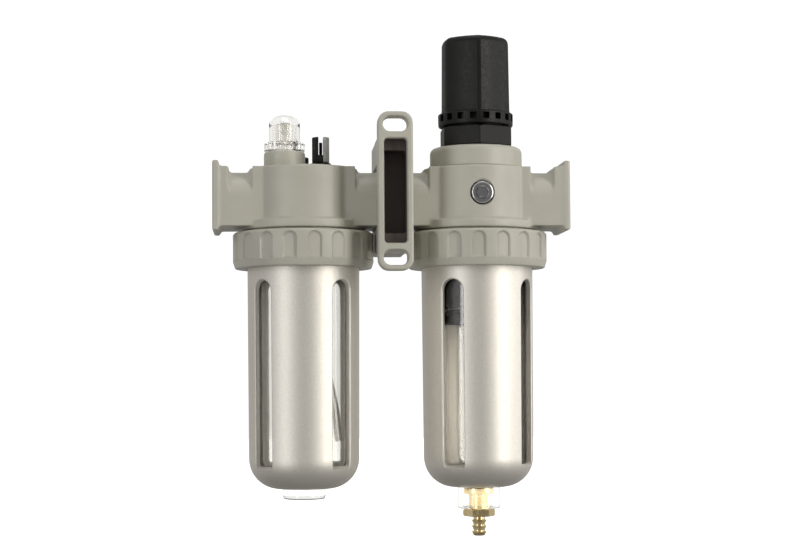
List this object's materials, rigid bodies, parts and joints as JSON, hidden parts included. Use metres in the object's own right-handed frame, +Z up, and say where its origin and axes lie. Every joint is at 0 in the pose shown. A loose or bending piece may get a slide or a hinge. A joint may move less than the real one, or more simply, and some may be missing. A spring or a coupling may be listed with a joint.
{
  "type": "filter regulator lubricator",
  "caption": "Compressed air service unit: a filter regulator with knob and gauge beside an oil mist lubricator, joined by a slotted wall bracket, each with a guarded clear bowl.",
  "frame": {"origin": "centre of the bracket's wall face, level with the port axis", "axes": "+Z up, +Y from the wall towards the user, +X from the outlet of the lubricator towards the inlet of the filter regulator"},
  "size_m": [0.13, 0.0739, 0.1832],
  "materials": {
    "painted_die_cast": "warm light grey paint on a die casting",
    "satin_bowl_guard": "satin champagne silver",
    "black_plastic": "moulded black",
    "clear_polycarbonate": "clear polycarbonate",
    "turned_brass": "turned",
    "bright_chrome": "bright plating",
    "spring_steel": "oiled spring steel",
    "black_rubber": "moulded nitrile",
    "sintered_element": "sintered, cream",
    "machined_aluminium": "as machined",
    "white_dial": "printed white"
  },
  "bodies": {
    "frl_frame": {"lubricator_body": "painted_die_cast", "regulator_body": "painted_die_cast", "wall_bracket": "painted_die_cast", "bracket_front_clamp": "painted_die_cast", "clamp_bolt_upper": "spring_steel", "clamp_bolt_lower": "spring_steel", "joint_gasket": "black_rubber", "bonnet": "painted_die_cast", "spring_cage": "black_plastic", "diaphragm": "black_rubber", "pressure_spring": "spring_steel", "valve_seat": "turned_brass", "valve_guide": "black_plastic", "valve_spring": "spring_steel", "deflector": "black_plastic", "filter_element": "sintered_element", "baffle": "black_plastic", "sight_dome": "clear_polycarbonate", "drip_nozzle": "clear_polycarbonate", "feed_scale_ring": "black_plastic", "siphon_holder": "black_plastic", "siphon_tube": "clear_polycarbonate", "flow_damper": "black_rubber", "gauge_port_plug": "bright_chrome", "gauge_stem": "turned_brass", "gauge_case": "black_plastic", "gauge_dial": "white_dial", "gauge_window": "clear_polycarbonate", "gauge_bezel": "bright_chrome", "bourdon_tube": "turned_brass"},
    "pressure_screw": {"adjusting_screw": "spring_steel"},
    "pressure_knob": {"pressure_knob": "black_plastic"},
    "spring_nut": {"spring_nut": "machined_aluminium"},
    "diaphragm_plate": {"diaphragm_plate": "machined_aluminium"},
    "poppet": {"poppet": "black_rubber", "valve_stem": "turned_brass"},
    "filter_bowl": {"filter_bowl": "clear_polycarbonate", "filter_bowl_guard": "satin_bowl_guard", "filter_bowl_seal": "black_rubber", "drain_body": "turned_brass", "drain_lock_nut": "turned_brass"},
    "filter_ring": {"filter_bowl_ring": "painted_die_cast"},
    "drain_cock": {"drain_cock": "turned_brass"},
    "oil_bowl": {"oil_bowl": "clear_polycarbonate", "oil_bowl_guard": "satin_bowl_guard", "oil_bowl_seal": "black_rubber"},
    "oil_ring": {"oil_bowl_ring": "painted_die_cast"},
    "feed_screw": {"feed_screw": "black_plastic"},
    "filler_seal": {"filler_seal": "black_rubber"},
    "filler_plug": {"filler_plug": "black_plastic"},
    "check_ball": {"check_ball": "spring_steel"},
    "gauge_pointer": {"gauge_pointer": "black_plastic"}
  },
  "joints": [
    {"name": "pressure_screw_turn", "type": "hinge", "parent": "frl_frame", "child": "pressure_screw", "pos_m": [0.032, 0.0295, 0.05], "axis": [0, 0, -1], "range_deg": [0, 2160]},
    {"name": "knob_pull", "type": "slide", "parent": "pressure_screw", "child": "pressure_knob", "axis": [0, 0, 1], "range_m": [0, 0.003]},
    {"name": "spring_nut_travel", "type": "slide", "parent": "frl_frame", "child": "spring_nut", "axis": [0, 0, -1], "range_m": [0, 0.006], "deforming": ["pressure_spring"]},
    {"name": "valve_opening", "type": "slide", "parent": "frl_frame", "child": "diaphragm_plate", "axis": [0, 0, -1], "range_m": [0, 0.0012], "stiffness_N_per_m": 300, "springref_m": -0.0005},
    {"name": "poppet_lift", "type": "slide", "parent": "frl_frame", "child": "poppet", "axis": [0, 0, -1], "range_m": [0, 0.0012], "deforming": ["valve_spring"]},
    {"name": "filter_bowl_drop", "type": "slide", "parent": "frl_frame", "child": "filter_bowl", "axis": [0, 0, -1], "range_m": [0, 0.008]},
    {"name": "filter_ring_turn", "type": "hinge", "parent": "filter_bowl", "child": "filter_ring", "pos_m": [0.032, 0.0295, -0.0195], "axis": [0, 0, -1], "range_deg": [0, 1920]},
    {"name": "drain_turn", "type": "hinge", "parent": "filter_bowl", "child": "drain_cock", "pos_m": [0.032, 0.0295, -0.115], "axis": [0, 0, -1], "range_deg": [0, 180]},
    {"name": "oil_bowl_drop", "type": "slide", "parent": "frl_frame", "child": "oil_bowl", "axis": [0, 0, -1], "range_m": [0, 0.008]},
    {"name": "oil_ring_turn", "type": "hinge", "parent": "oil_bowl", "child": "oil_ring", "pos_m": [-0.032, 0.0295, -0.0195], "axis": [0, 0, -1], "range_deg": [0, 1920]},
    {"name": "feed_turn", "type": "hinge", "parent": "frl_frame", "child": "feed_screw", "pos_m": [-0.0255, 0.0295, 0.018], "axis": [0, 0, 1], "range_deg": [0, 720]},
    {"name": "filler_lift", "type": "slide", "parent": "frl_frame", "child": "filler_seal", "axis": [0, 0, 1], "range_m": [0, 0.004]},
    {"name": "filler_turn", "type": "hinge", "parent": "filler_seal", "child": "filler_plug", "pos_m": [-0.0316, 0.0385, 0.013], "axis": [0, 0, 1], "range_deg": [0, 2880]},
    {"name": "check_ball_lift", "type": "slide", "parent": "frl_frame", "child": "check_ball", "axis": [0, 0, 1], "range_m": [0, 0.0008]},
    {"name": "gauge_pointer_turn", "type": "hinge", "parent": "frl_frame", "child": "gauge_pointer", "pos_m": [0.032, 0.0664, 0.0004], "axis": [0, -1, 0], "range_deg": [0, 270], "stiffness_Nm_per_rad": 0.0005}
  ],
  "couplings": [
    {"joint": "pressure_screw_turn", "follows": "spring_nut_travel", "rad_per_m": 6283.2},
    {"joint": "poppet_lift", "follows": "valve_opening", "ratio": 1},
    {"joint": "filter_ring_turn", "follows": "filter_bowl_drop", "rad_per_m": 4188.8},
    {"joint": "oil_ring_turn", "follows": "oil_bowl_drop", "rad_per_m": 4188.8},
    {"joint": "filler_turn", "follows": "filler_lift", "rad_per_m": 12566}
  ]
}
